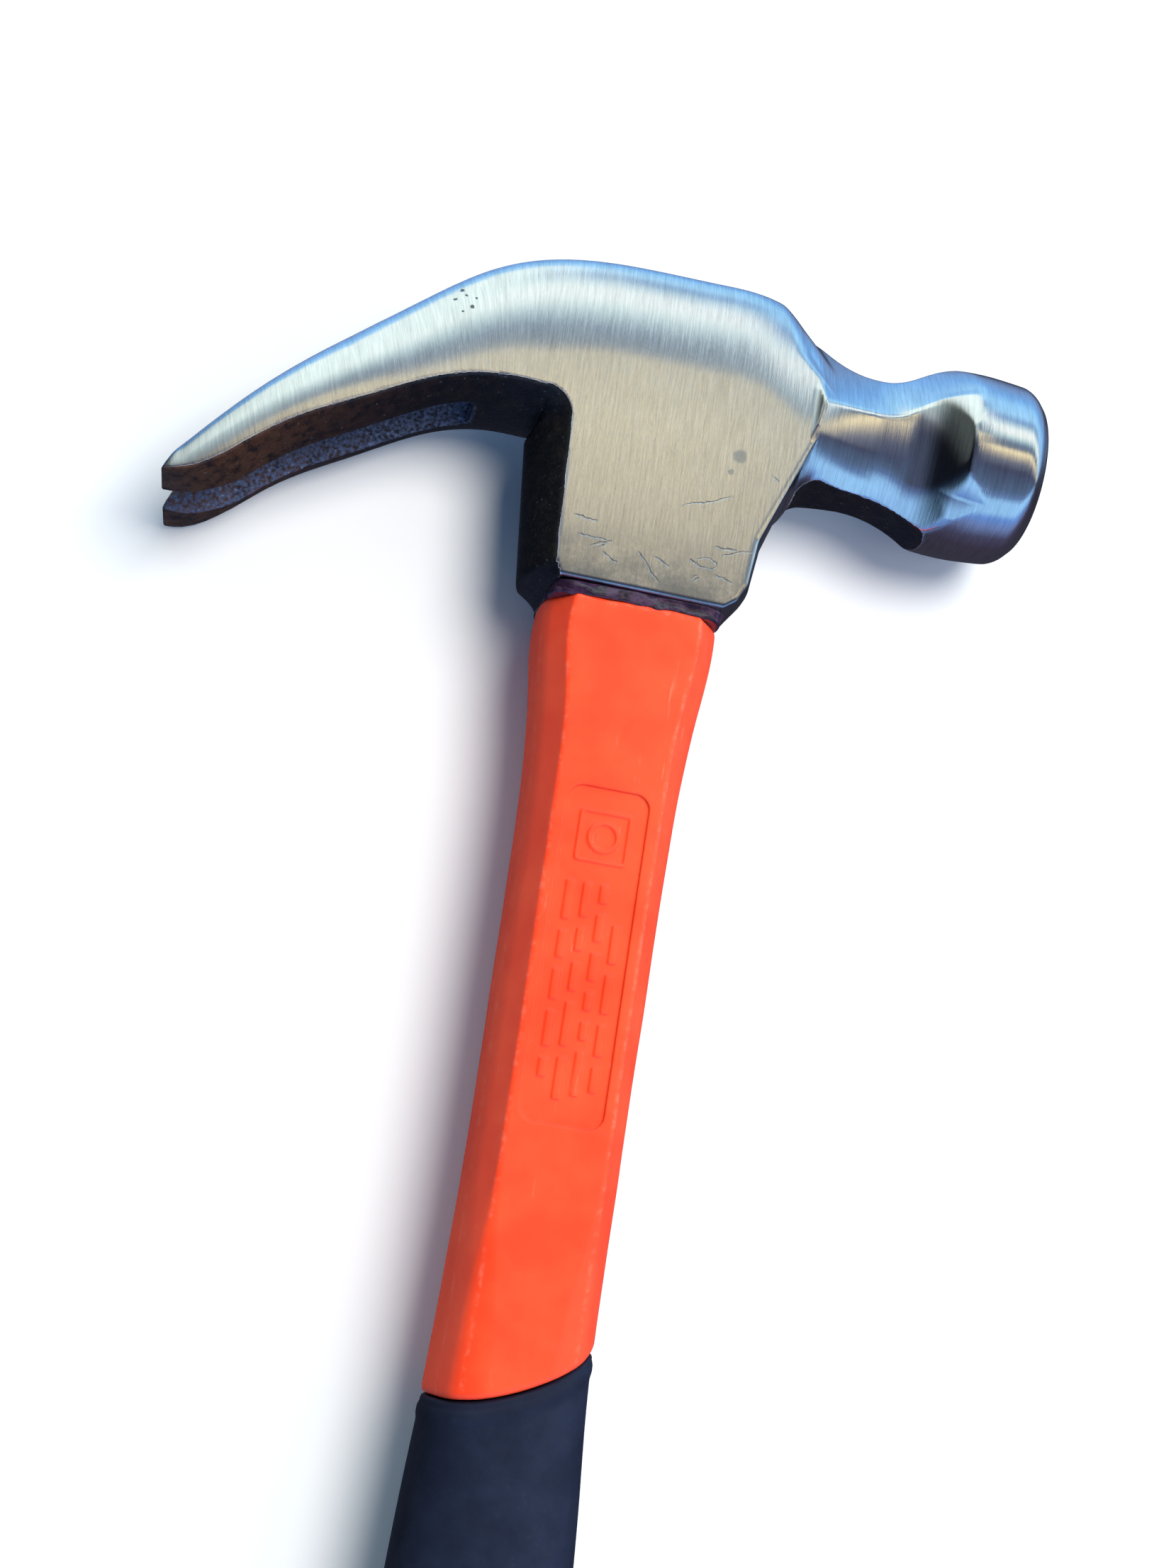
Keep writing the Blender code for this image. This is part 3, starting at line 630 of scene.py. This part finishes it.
class Nodes:
    """Short way to write a node tree."""

    def __init__(self, name):
        self.material = bpy.data.materials.new(name)
        self.material.use_nodes = True
        self.tree = self.material.node_tree
        self.shader = self.tree.nodes["Principled BSDF"]

    def add(self, kind, inputs=None, **settings):
        node = self.tree.nodes.new(kind)
        for key, value in settings.items():
            setattr(node, key, value)
        for key, value in (inputs or {}).items():
            self.put(node.inputs[key], value)
        return node

    def put(self, socket, value):
        if isinstance(value, bpy.types.NodeSocket):
            self.tree.links.new(value, socket)
        else:
            socket.default_value = value

    def math(self, operation, *values):
        node = self.add("ShaderNodeMath", operation=operation)
        for socket, value in zip(node.inputs, values):
            self.put(socket, value)
        return node.outputs[0]

    def noise(self, vector, scale, detail=2.0, roughness=0.5):
        return self.add("ShaderNodeTexNoise", {"Vector": vector, "Scale": scale, "Detail": detail,
                                               "Roughness": roughness}).outputs["Fac"]

    def vector(self, operation, a, b):
        return self.add("ShaderNodeVectorMath", {0: a, 1: b}, operation=operation)

    def scaled(self, vector, factors):
        return self.vector("MULTIPLY", vector, factors).outputs[0]

    def span(self, value, from_low, from_high, to_low=0.0, to_high=1.0, smooth_step=True):
        kind = "SMOOTHSTEP" if smooth_step else "LINEAR"
        return self.add("ShaderNodeMapRange", {0: value, 1: from_low, 2: from_high, 3: to_low, 4: to_high},
                        interpolation_type=kind).outputs[0]

    def blend(self, factor, a, b):
        node = self.add("ShaderNodeMix", data_type="RGBA")
        self.put(node.inputs["Factor"], factor)
        for socket, value in ((node.inputs[6], a), (node.inputs[7], b)):
            self.put(socket, (*value, 1) if isinstance(value, tuple) else value)
        return node.outputs[2]

    def bump(self, height, strength, distance, normal=None):
        node = self.add("ShaderNodeBump", {"Height": height, "Strength": strength, "Distance": distance})
        if normal is not None:
            self.put(node.inputs["Normal"], normal)
        return node.outputs[0]

    def attribute(self, name):
        return self.add("ShaderNodeAttribute", attribute_name=name)

    def dot(self, vector, other):
        return self.vector("DOT_PRODUCT", vector, other).outputs["Value"]

    def scratch(self, place, start, end, width=0.16):
        """1 on a thin straight mark between two points in X and Y, 0 off it."""
        (x0, y0), (x1, y1) = start, end
        length = np.hypot(x1 - x0, y1 - y0)
        way = ((x1 - x0) / length, (y1 - y0) / length)
        middle = (x0 + x1) / 2 * way[0] + (y0 + y1) / 2 * way[1]
        along = self.math("SUBTRACT", self.dot(place, (*way, 0)), middle)
        aside = self.math("SUBTRACT", self.dot(place, (-way[1], way[0], 0)), y0 * way[0] - x0 * way[1])
        taper = self.span(self.math("ABSOLUTE", along), length / 2, length / 4)
        return self.math("MULTIPLY", taper, self.span(self.math("ABSOLUTE", aside), width, width * 0.3))

    def spot(self, place, centre, size, ring=None):
        """1 inside a round spot in X and Y, or on a ring of that width."""
        moved = self.vector("SUBTRACT", place, (*centre, 0)).outputs[0]
        flat = self.scaled(moved, (1, 1, 0) if ring is None else (1, 1.7, 0))
        far = self.add("ShaderNodeVectorMath", {0: flat}, operation="LENGTH").outputs["Value"]
        if ring is None:
            return self.span(far, size, size * 0.55)
        return self.span(self.math("ABSOLUTE", self.math("SUBTRACT", far, size)), ring, ring * 0.3)

    def most(self, values):
        total = values[0]
        for value in values[1:]:
            total = self.math("MAXIMUM", total, value)
        return total

    def place(self):
        """Position in millimetres, in hammer axes."""
        place = self.add("ShaderNodeTexCoord").outputs["Object"]
        moved = self.vector("SUBTRACT", place, tuple(ORIGIN)).outputs[0]
        return self.scaled(moved, (1000, 1000, 1000))

    def finish(self, piece, **values):
        for key, value in values.items():
            self.put(self.shader.inputs[key.replace("_", " ")], value)
        piece.data.materials.clear()
        piece.data.materials.append(self.material)


# Marks on the cheek and the claw, in X and Y: the ends of each scratch; the middle and size of each pit
# and stain
SCRATCHES = (((-11.4, 6.6), (-6.0, 6.6)), ((-9.4, 5.3), (-5.8, 6.6)), ((-8.0, 4.9), (-5.9, 6.8)),
             ((-7.1, 4.7), (-4.6, 3.2)), ((-2.0, 6.3), (2.3, 1.3)), ((0.4, 5.6), (3.4, 4.4)),
             ((10.4, 7.8), (15.7, 9.4)), ((9.2, 8.9), (13.4, 9.0)), ((5.9, 6.4), (7.6, 5.4)),
             ((6.3, 3.0), (7.5, 4.1)), ((6.9, 2.8), (8.0, 3.8)), ((9.9, 4.6), (13.2, 4.0)),
             ((17.0, 22.0), (18.0, 20.9)), ((3.0, 14.0), (12.0, 17.4)), ((-12.2, 9.6), (-8.4, 9.0)))
RING_MARK = ((8.7, 6.1), 1.5, 0.2)    # middle, radius and line width
PITS = (((-34.2, 41.0), 0.42), ((-33.5, 40.1), 0.26), ((-34.9, 39.2), 0.28), ((-32.3, 38.4), 0.40),
        ((-33.6, 37.3), 0.24), ((-31.9, 40.0), 0.22), ((-35.6, 42.3), 0.3))
STAINS = (((11.4, 23.9), 1.3), ((10.4, 21.1), 0.6))


def finish_steel(piece):
    """Ground steel, brushed across the head, and dark scale where it was left as forged and on the neck's
    bottom facet. The slot's walls carry a painted blue reflection, and the scale's ragged edge a painted
    highlight.
    """
    n = Nodes("ground_steel")
    place = n.place()
    x, y, z = n.add("ShaderNodeSeparateXYZ", {0: place}).outputs
    streak = n.attribute("streak").outputs["Fac"]
    forged = n.attribute("forged").outputs["Fac"]
    wall = n.attribute("wall").outputs["Fac"]
    lines = n.add("ShaderNodeCombineXYZ", {0: streak, 1: n.math("MULTIPLY", y, 0.05),
                                           2: n.math("MULTIPLY", z, 0.08)}).outputs[0]
    fine = n.noise(lines, 3.2, 4.0, 0.75)
    broad = n.noise(lines, 1.3, 2.0, 0.5)
    cloud = n.noise(place, 0.11, 3.0, 0.55)
    grain = n.noise(place, 1.7, 4.0, 0.6)
    mottle = n.noise(place, 0.5, 3.0, 0.6)

    tone = n.math("ADD", n.math("MULTIPLY", n.math("SUBTRACT", fine, 0.5), 1.7),
                  n.math("MULTIPLY", n.math("SUBTRACT", broad, 0.5), 0.25))
    tone = n.math("ADD", tone, n.math("MULTIPLY", n.math("SUBTRACT", cloud, 0.5), 0.3))
    brushed = n.span(tone, -0.35, 0.35, smooth_step=False)
    ground = n.blend(brushed, (0.54, 0.535, 0.53), (0.80, 0.795, 0.785))
    patchy = n.math("ADD", cloud, n.math("MULTIPLY", grain, 0.35))
    dull = n.math("MULTIPLY", n.span(y, 11.0, 0.5), n.span(patchy, 0.4, 0.8))
    ground = n.blend(n.span(y, 26.0, -4.0, 0.0, 0.45, smooth_step=False), ground, (0.30, 0.30, 0.31))
    ground = n.blend(n.math("MULTIPLY", dull, 0.7), ground, (0.24, 0.235, 0.235))

    wander = n.add("ShaderNodeTexNoise", {"Vector": place, "Scale": 0.8}).outputs["Color"]
    bent = n.vector("ADD", place, n.scaled(wander, (1.0, 1.0, 0))).outputs[0]
    bent = n.vector("ADD", bent, (-0.5, -0.5, 0)).outputs[0]
    marks = n.most([n.scratch(bent, *ends) for ends in SCRATCHES] + [n.spot(bent, *RING_MARK)])
    pits = n.most([n.spot(bent, *pit) for pit in PITS])
    stain = n.most([n.spot(bent, *stain) for stain in STAINS])
    ground = n.blend(n.math("MULTIPLY", marks, 0.22), ground, (0.2, 0.19, 0.17))
    ground = n.blend(n.math("MULTIPLY", stain, 0.3), ground, (0.20, 0.18, 0.16))
    ground = n.blend(n.math("MULTIPLY", pits, 0.85), ground, (0.02, 0.02, 0.025))

    scale = n.blend(n.span(mottle, 0.4, 0.7), (0.003, 0.003, 0.004), (0.010, 0.007, 0.006))
    # Browner towards the claw's tip.
    browner_to_tip = n.math("MULTIPLY", n.span(x, -34.0, -70.0), n.span(mottle, 0.25, 0.6))
    scale = n.blend(browner_to_tip, scale, (0.060, 0.024, 0.010))
    # Painted reflection: the slot's walls are tinted blue with the sky that they face.
    scale = n.blend(n.math("MULTIPLY", wall, n.span(grain, 0.35, 0.65)), scale, (0.060, 0.085, 0.165))
    speck = n.math("ADD", 0.25, n.math("MULTIPLY", wall, 0.75))
    speck = n.math("MULTIPLY", n.span(grain, 0.64, 0.72), speck)
    scale = n.blend(speck, scale, (0.30, 0.32, 0.36))

    ragged = n.math("ADD", forged, n.math("MULTIPLY", n.math("SUBTRACT", grain, 0.5), 0.5))
    bare = n.span(ragged, 0.42, 0.58, 1.0, 0.0)
    # Painted highlight: the ragged edge of the forged scale gets a thin lilac-white line in its colour.
    painted_burr_highlight = n.math("MULTIPLY", n.span(ragged, 0.12, 0.3), n.span(ragged, 0.56, 0.42))
    ground = n.blend(n.math("MULTIPLY", painted_burr_highlight, 0.6), ground, (0.80, 0.80, 0.95))
    colour = n.blend(bare, scale, ground)
    rough_ground = n.math("ADD", fine, n.math("MULTIPLY", cloud, 0.6))
    rough_ground = n.math("ADD", 0.12, n.math("MULTIPLY", rough_ground, 0.06))
    rough_ground = n.math("MULTIPLY", rough_ground, n.span(x, 22.0, 30.0, 1.0, 0.75))
    rough_ground = n.math("ADD", rough_ground, n.math("MULTIPLY", n.math("ADD", dull, stain), 0.12))
    rough_scale = n.span(grain, 0.3, 0.7, 0.42, 0.66)
    rough = n.add("ShaderNodeMix", {"Factor": bare, 2: rough_scale, 3: rough_ground}).outputs[0]
    metal = n.math("MAXIMUM", bare, n.math("MULTIPLY", speck, 0.6))

    height_ground = n.math("ADD", n.math("MULTIPLY", fine, 0.9), n.math("MULTIPLY", broad, 0.1))
    height_ground = n.math("SUBTRACT", height_ground, n.math("MULTIPLY", n.math("ADD", marks, pits), 1.6))
    height_scale = n.math("ADD", n.math("MULTIPLY", grain, 3.0), n.math("MULTIPLY", mottle, 3.0))
    height = n.add("ShaderNodeMix", {"Factor": bare, 2: height_scale, 3: height_ground}).outputs[0]
    normal = n.bump(height, 0.55, 0.00004)
    n.finish(piece, Base_Color=colour, Roughness=rough, Metallic=metal, Anisotropic=0.5, Normal=normal,
             Tangent=n.attribute("across").outputs["Vector"])


def finish_jacket(piece):
    """Moulded orange plastic, with flow marks, faint scuffs and a fine moulded grain."""
    n = Nodes("moulded_orange")
    place = n.place()
    cloud = n.noise(place, 0.09, 3.0, 0.55)
    grain = n.noise(place, 4.5, 3.0, 0.6)
    peel = n.noise(place, 0.9, 2.0, 0.5)
    along = n.noise(n.scaled(place, (1.6, 0.12, 1.6)), 1.0, 3.0, 0.7)
    scuff = n.math("MULTIPLY", n.span(along, 0.62, 0.72), n.span(cloud, 0.48, 0.62))
    worn = n.span(n.noise(place, 0.7, 4.0, 0.7), 0.45, 0.7)
    worn = n.math("MULTIPLY", n.attribute("worn").outputs["Fac"], worn)
    colour = n.blend(n.span(cloud, 0.3, 0.7), (0.86, 0.050, 0.012), (0.93, 0.072, 0.020))
    colour = n.blend(n.math("MULTIPLY", n.math("MAXIMUM", scuff, worn), 0.3), colour, (0.95, 0.27, 0.17))
    rough = n.math("ADD", 0.36, n.math("MULTIPLY", n.math("ADD", peel, scuff), 0.10))
    height = n.math("ADD", n.math("MULTIPLY", grain, 0.35), peel)
    n.finish(piece, Base_Color=colour, Roughness=rough, Normal=n.bump(height, 0.35, 0.00006),
             Subsurface_Weight=0.06, Subsurface_Scale=0.002)


def finish_grip(piece):
    """Matt black rubber with a fine grain and faint dust, tinted blue as a painted reflection of the sky.
    """
    n = Nodes("moulded_rubber")
    place = n.place()
    cloud = n.noise(place, 0.13, 3.0, 0.6)
    grain = n.noise(place, 5.0, 4.0, 0.7)
    dust = n.math("MULTIPLY", n.span(n.noise(place, 1.4, 5.0, 0.7), 0.56, 0.75), n.span(cloud, 0.4, 0.65))
    # Painted reflection: the black rubber's colour is tinted blue with the sky that it mirrors.
    colour = n.blend(n.span(cloud, 0.3, 0.7), (0.006, 0.0085, 0.022), (0.010, 0.0145, 0.034))
    colour = n.blend(n.math("MULTIPLY", dust, 0.25), colour, (0.05, 0.06, 0.08))
    rough = n.math("ADD", 0.5, n.math("MULTIPLY", n.math("ADD", grain, dust), 0.14))
    n.finish(piece, Base_Color=colour, Roughness=rough, Normal=n.bump(grain, 0.5, 0.00006))
    n.shader.inputs["Specular IOR Level"].default_value = 0.35


def finish_bead(piece):
    """Dark glossy adhesive with small bubbles."""
    n = Nodes("dark_adhesive_gloss")
    place = n.place()
    cloud = n.noise(place, 0.45, 3.0, 0.6)
    bubble = n.add("ShaderNodeTexVoronoi", {"Vector": place, "Scale": 1.3}).outputs["Distance"]
    colour = n.blend(n.span(cloud, 0.35, 0.65), (0.012, 0.006, 0.014), (0.045, 0.018, 0.05))
    rough = n.span(cloud, 0.3, 0.7, 0.08, 0.3)
    height = n.math("ADD", cloud, n.span(bubble, 0.0, 0.25, -0.6, 0.0))
    n.finish(piece, Base_Color=colour, Roughness=rough, Normal=n.bump(height, 0.5, 0.0002))
    n.shader.inputs["Coat Weight"].default_value = 0.4


def finish_resin(piece):
    """Cast resin, brown and glossy."""
    n = Nodes("cast_resin_gloss")
    place = n.place()
    cloud = n.noise(place, 0.3, 3.0, 0.6)
    colour = n.blend(n.span(cloud, 0.3, 0.7), (0.045, 0.022, 0.01), (0.13, 0.07, 0.03))
    n.finish(piece, Base_Color=colour, Roughness=n.span(cloud, 0.3, 0.7, 0.12, 0.3),
             Normal=n.bump(n.noise(place, 0.8, 3.0, 0.6), 0.5, 0.0002))


def finish_core(piece):
    """Pultruded glass fibre: strands along the handle, dots on the sawn end."""
    n = Nodes("pultruded_fibreglass")
    place = n.place()
    strands = n.noise(n.scaled(place, (2.6, 0.02, 2.6)), 1.0, 3.0, 0.6)
    fine = n.noise(n.scaled(place, (9.0, 0.1, 9.0)), 1.0, 2.0, 0.6)
    tone = n.math("ADD", n.math("MULTIPLY", strands, 0.6), n.math("MULTIPLY", fine, 0.4))
    colour = n.blend(n.span(tone, 0.35, 0.65), (0.34, 0.27, 0.12), (0.70, 0.62, 0.38))
    n.finish(piece, Base_Color=colour, Roughness=n.span(fine, 0.3, 0.7, 0.4, 0.65),
             Normal=n.bump(tone, 0.5, 0.0001))


finish_steel(head)
finish_jacket(jacket)
finish_grip(grip)
finish_bead(bead)
finish_resin(resin)
finish_core(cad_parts["fibreglass_core"])

# ---- Studio ----------------------------------------------------------------------------------------

CAMERA_PLACE = (-49.6, -95.8, 309.7)
CAMERA_TURN = (10.753, -10.477, 8.781)
CAMERA_LENS = 48.825
SENSOR_WIDTH = 36
CLIP_START = 0.01

camera = bpy.data.objects.new("camera", bpy.data.cameras.new("camera"))
bpy.context.collection.objects.link(camera)
camera.location = ORIGIN + Vector(CAMERA_PLACE) * MM
camera.rotation_euler = np.radians(CAMERA_TURN)
camera.data.lens = CAMERA_LENS
camera.data.sensor_width = SENSOR_WIDTH
camera.data.clip_start = CLIP_START
bpy.context.scene.camera = camera
bpy.context.scene.view_settings.view_transform = "Standard"

# Sky colours by the angle from overhead towards the top of the head, in degrees. The bands are what the
# steel mirrors, and SKY_LEFT takes over on the claw's side.
SKY = ((-180, (0.03, 0.03, 0.045)), (-120, (0.04, 0.035, 0.06)), (-98, (0.06, 0.06, 0.12)),
       (-81, (0.15, 0.22, 0.46)), (-67, (0.13, 0.29, 0.72)), (-60, (0.30, 0.58, 0.94)),
       (-44, (0.30, 0.58, 0.94)), (-37, (0.11, 0.19, 0.40)), (-28, (0.08, 0.13, 0.23)),
       (-1, (0.055, 0.065, 0.12)), (9, (0.16, 0.18, 0.24)), (14, (0.40, 0.37, 0.33)),
       (18, (0.68, 0.60, 0.43)), (21, (0.92, 0.80, 0.52)), (23.4, (1.0, 0.87, 0.55)),
       (26.2, (0.16, 0.20, 0.27)), (33, (0.13, 0.19, 0.29)), (36.5, (0.30, 0.44, 0.54)),
       (41, (0.62, 0.80, 0.83)), (45, (0.92, 1.0, 1.0)), (52, (0.92, 1.0, 1.0)),
       (58, (0.46, 0.66, 0.78)), (64, (0.18, 0.32, 0.58)), (74, (0.36, 0.68, 1.0)),
       (88, (0.31, 0.64, 1.0)), (104, (0.18, 0.42, 0.84)), (128, (0.17, 0.27, 0.50)),
       (150, (0.04, 0.05, 0.08)), (180, (0.03, 0.03, 0.045)))
SKY_LEFT = ((-180, (0.03, 0.03, 0.045)), (-100, (0.09, 0.15, 0.32)), (-76, (0.13, 0.27, 0.62)),
            (-64, (0.27, 0.52, 0.88)), (-48, (0.27, 0.52, 0.88)), (-38, (0.11, 0.18, 0.38)),
            (-28, (0.06, 0.08, 0.14)), (8, (0.05, 0.06, 0.10)), (16, (0.11, 0.12, 0.16)),
            (21, (0.36, 0.42, 0.45)), (30, (0.42, 0.53, 0.56)), (37, (0.60, 0.75, 0.77)),
            (42, (0.84, 1.0, 0.98)), (76, (0.84, 1.0, 1.0)), (85, (0.34, 0.66, 1.0)),
            (104, (0.20, 0.44, 0.85)), (138, (0.17, 0.27, 0.52)), (150, (0.04, 0.05, 0.08)),
            (180, (0.03, 0.03, 0.045)))
SKY_STRENGTH = 1.4
SKY_FAR_LEFT = 0.08            # share of that strength at the far left
SKY_TURN = 11.0                # degrees by which the sky turns towards the right


def build_sky():
    """World of soft bands that run from the claw to the poll, brighter overhead than at the far left."""
    world = bpy.data.worlds.new("studio")
    bpy.context.scene.world = world
    world.use_nodes = True
    tree = world.node_tree
    link = tree.links.new

    def span(value, *limits):
        node = tree.nodes.new("ShaderNodeMapRange")
        node.interpolation_type = "SMOOTHSTEP"
        link(value, node.inputs[0])
        for socket, limit in zip(list(node.inputs)[1:5], limits):
            socket.default_value = limit
        return node.outputs[0]

    def math(operation, a, b):
        node = tree.nodes.new("ShaderNodeMath")
        node.operation = operation
        for socket, value in zip(node.inputs, (a, b)):
            if isinstance(value, float):
                socket.default_value = value
            else:
                link(value, socket)
        return node.outputs[0]

    way = tree.nodes.new("ShaderNodeSeparateXYZ")
    link(tree.nodes.new("ShaderNodeTexCoord").outputs["Generated"], way.inputs[0])
    angle = math("ADD", math("ARCTAN2", way.outputs["Y"], way.outputs["Z"]),
                 span(way.outputs["X"], 0.22, 0.28, 0.0, float(np.radians(SKY_TURN))))
    share = math("ADD", math("DIVIDE", angle, float(2 * np.pi)), 0.5)
    skies = []
    for rows in (SKY_LEFT, SKY):
        ramp = tree.nodes.new("ShaderNodeValToRGB")
        stops = ramp.color_ramp.elements
        while len(stops) < len(rows):
            stops.new(0.5)
        for stop, (degrees, _) in zip(stops, rows):
            stop.position = (degrees + 180) / 360
        for stop, (_, colour) in zip(stops, rows):
            stop.color = (*colour, 1)
        link(share, ramp.inputs[0])
        skies.append(ramp.outputs[0])
    mixed = tree.nodes.new("ShaderNodeMix")
    mixed.data_type = "RGBA"
    link(span(way.outputs["X"], -0.03, 0.08, 0.0, 1.0), mixed.inputs["Factor"])
    link(skies[0], mixed.inputs[6])
    link(skies[1], mixed.inputs[7])
    back = tree.nodes["Background"]
    link(mixed.outputs[2], back.inputs["Color"])
    strength = span(way.outputs["X"], -0.82, -0.42, SKY_FAR_LEFT * SKY_STRENGTH, SKY_STRENGTH)
    link(strength, back.inputs["Strength"])


def soft_light(name, place, size, power, colour):
    """Round area light aimed at the origin, which the steel doesn't mirror."""
    light = bpy.data.lights.new(name, "AREA")
    light.shape = "DISK"
    light.size = size
    light.energy = power
    light.color = colour
    lamp = bpy.data.objects.new(name, light)
    bpy.context.collection.objects.link(lamp)
    lamp.location = place
    lamp.rotation_euler = (-Vector(place)).to_track_quat("-Z", "Y").to_euler()
    lamp.visible_camera = False
    lamp.visible_glossy = False


build_sky()
soft_light("key", (0.3, 0.3, 1.0), 0.6, 14.0, (1.0, 0.96, 0.9))
soft_light("fill", (0.6, -0.3, 0.8), 0.8, 3.0, (1.0, 0.97, 0.93))

FLOOR_HALF = 3
FLOOR_DROP = 0.05              # keeps the floor clear of the underside
floor_mesh = bpy.data.meshes.new("floor")
corners = [(FLOOR_HALF * a, FLOOR_HALF * b, 0) for a, b in ((-1, -1), (1, -1), (1, 1), (-1, 1))]
floor_mesh.from_pydata(corners, [], [(0, 1, 2, 3)])
floor = bpy.data.objects.new("floor", floor_mesh)
floor.location.z = -FLOOR_DROP * MM
floor.visible_glossy = False   # the steel mirrors the sky, not the floor
bpy.context.collection.objects.link(floor)
paper = Nodes("paper")
tint = paper.blend(paper.noise(paper.place(), 0.02), (0.70, 0.715, 0.735), (0.73, 0.745, 0.76))
paper.finish(floor, Base_Color=tint, Roughness=0.9)
